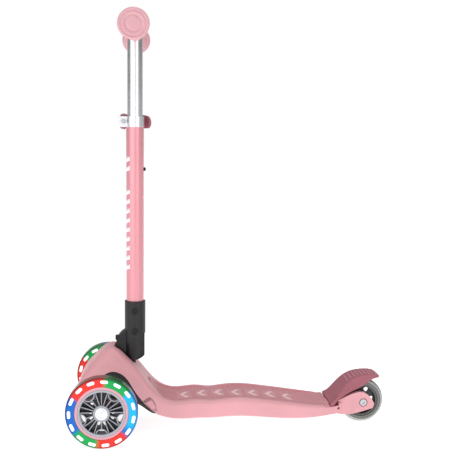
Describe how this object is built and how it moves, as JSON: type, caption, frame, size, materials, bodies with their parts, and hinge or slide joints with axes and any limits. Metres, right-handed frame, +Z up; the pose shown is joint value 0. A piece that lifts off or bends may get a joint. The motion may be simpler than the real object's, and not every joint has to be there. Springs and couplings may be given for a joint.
{
  "type": "kick scooter",
  "caption": "Folding lean-to-steer kick scooter for a small child, with lighted front wheels, a rear wheel with fender brake and a telescoping column.",
  "frame": {"origin": "on the floor, under the middle of the length and of the track", "axes": "+X forward, +Y to the rider's left, +Z up along the column"},
  "size_m": [0.564, 0.2716, 0.72],
  "materials": {
    "pink_plastic": "satin",
    "rose_rubber": "matt, fine grip pattern",
    "rose_plastic": "matt",
    "black_plastic": "fine grain",
    "steel": "zinc plated",
    "dark_steel": "black oxide",
    "silver_aluminium": "satin anodised",
    "pink_paint": "gloss powder coat",
    "pink_grip": "soft, satin",
    "light_tyre": "translucent, coloured light segments",
    "light_white": "lit",
    "pink_ring": "satin",
    "grey_core": "satin",
    "clear_tyre": "translucent grey",
    "copper_coil": "wound"
  },
  "bodies": {
    "chassis": {"deck": "pink_plastic", "deck_tread": "rose_rubber", "steering_housing": "black_plastic", "housing_cover": "black_plastic", "cover_screws": "steel", "kingpins": "steel", "fold_tongue": "black_plastic", "fold_pin": "steel", "rear_axle": "steel", "rear_axle_nut": "steel", "rear_axle_spacers": "steel", "brake_pin": "steel", "brake_spring": "steel", "centring_springs": "steel", "fold_button_spring": "steel"},
    "column_lower": {"fold_socket": "black_plastic", "socket_screws": "steel", "lower_tube": "pink_paint", "guide_bush": "black_plastic", "clamp_collar": "silver_aluminium", "clamp_bolt": "steel", "clamp_nut": "steel", "snap_spring": "steel"},
    "column_upper": {"upper_tube": "silver_aluminium", "handlebar_tube": "silver_aluminium", "left_grip": "pink_grip", "right_grip": "pink_grip"},
    "lever": {"clamp_lever": "rose_plastic"},
    "snap": {"snap_button": "dark_steel"},
    "release": {"fold_button": "black_plastic"},
    "brake": {"rear_brake": "rose_plastic"},
    "rod": {"tie_rod": "steel"},
    "rear_wheel": {"rear_tyre": "clear_tyre", "rear_wheel_core": "grey_core", "rear_wheel_bearings": "steel"},
    "left_knuckle": {"left_steering_knuckle": "grey_core", "left_kingpin_bush": "black_plastic", "left_magnet_ring": "dark_steel", "left_front_axle": "steel"},
    "left_wheel": {"left_front_tyre": "light_tyre", "left_light_windows": "light_white", "left_trim_ring": "pink_ring", "left_wheel_core": "grey_core", "left_wheel_bearings": "steel", "left_light_coil": "copper_coil", "left_hub_cap": "silver_aluminium"},
    "right_knuckle": {"right_steering_knuckle": "grey_core", "right_kingpin_bush": "black_plastic", "right_magnet_ring": "dark_steel", "right_front_axle": "steel"},
    "right_wheel": {"right_front_tyre": "light_tyre", "right_light_windows": "light_white", "right_trim_ring": "pink_ring", "right_wheel_core": "grey_core", "right_wheel_bearings": "steel", "right_light_coil": "copper_coil", "right_hub_cap": "silver_aluminium"}
  },
  "joints": [
    {"name": "left_steer", "type": "hinge", "parent": "chassis", "child": "left_knuckle", "pos_m": [0.222, 0.086, 0.06], "axis": [-0.342, 0, 0.9397], "range_deg": [-12, 12], "stiffness_Nm_per_rad": 0.8},
    {"name": "right_steer", "type": "hinge", "parent": "chassis", "child": "right_knuckle", "pos_m": [0.222, -0.086, 0.06], "axis": [-0.342, 0, 0.9397], "range_deg": [-12, 12], "stiffness_Nm_per_rad": 0.8},
    {"name": "tie_rod_pivot", "type": "hinge", "parent": "left_knuckle", "child": "rod", "pos_m": [0.19524, 0.086, 0.06335], "axis": [-0.342, 0, 0.9397], "range_deg": [-12, 12], "deforming": ["centring_springs"]},
    {"name": "left_wheel_spin", "type": "hinge", "parent": "left_knuckle", "child": "left_wheel", "pos_m": [0.222, 0.122, 0.06], "axis": [0, 1, 0], "continuous": true},
    {"name": "right_wheel_spin", "type": "hinge", "parent": "right_knuckle", "child": "right_wheel", "pos_m": [0.222, -0.122, 0.06], "axis": [0, 1, 0], "continuous": true},
    {"name": "rear_wheel_spin", "type": "hinge", "parent": "chassis", "child": "rear_wheel", "pos_m": [-0.242, 0, 0.04], "axis": [0, 1, 0], "continuous": true},
    {"name": "column_fold", "type": "hinge", "parent": "chassis", "child": "column_lower", "pos_m": [0.1739, 0, 0.147], "axis": [0, -1, 0], "range_deg": [0, 90]},
    {"name": "column_height", "type": "slide", "parent": "column_lower", "child": "column_upper", "axis": [0, 0, 1], "range_m": [-0.05, 0.05]},
    {"name": "lever_swing", "type": "hinge", "parent": "column_lower", "child": "lever", "pos_m": [0.1894, -0.0143, 0.54155], "axis": [0, 0, 1], "range_deg": [0, 110]},
    {"name": "snap_press", "type": "slide", "parent": "column_lower", "child": "snap", "axis": [1, 0, 0], "range_m": [0, 0.0045], "stiffness_N_per_m": 400, "deforming": ["snap_spring"]},
    {"name": "release_press", "type": "slide", "parent": "chassis", "child": "release", "axis": [-1, 0, 0], "range_m": [0, 0.004], "stiffness_N_per_m": 500, "deforming": ["fold_button_spring"]},
    {"name": "brake_press", "type": "hinge", "parent": "chassis", "child": "brake", "pos_m": [-0.196, 0, 0.031], "axis": [0, -1, 0], "range_deg": [0, 3.5], "stiffness_Nm_per_rad": 3, "deforming": ["brake_spring"]}
  ],
  "couplings": [
    {"joint": "right_steer", "follows": "left_steer", "ratio": 1},
    {"joint": "tie_rod_pivot", "follows": "left_steer", "ratio": -1}
  ]
}
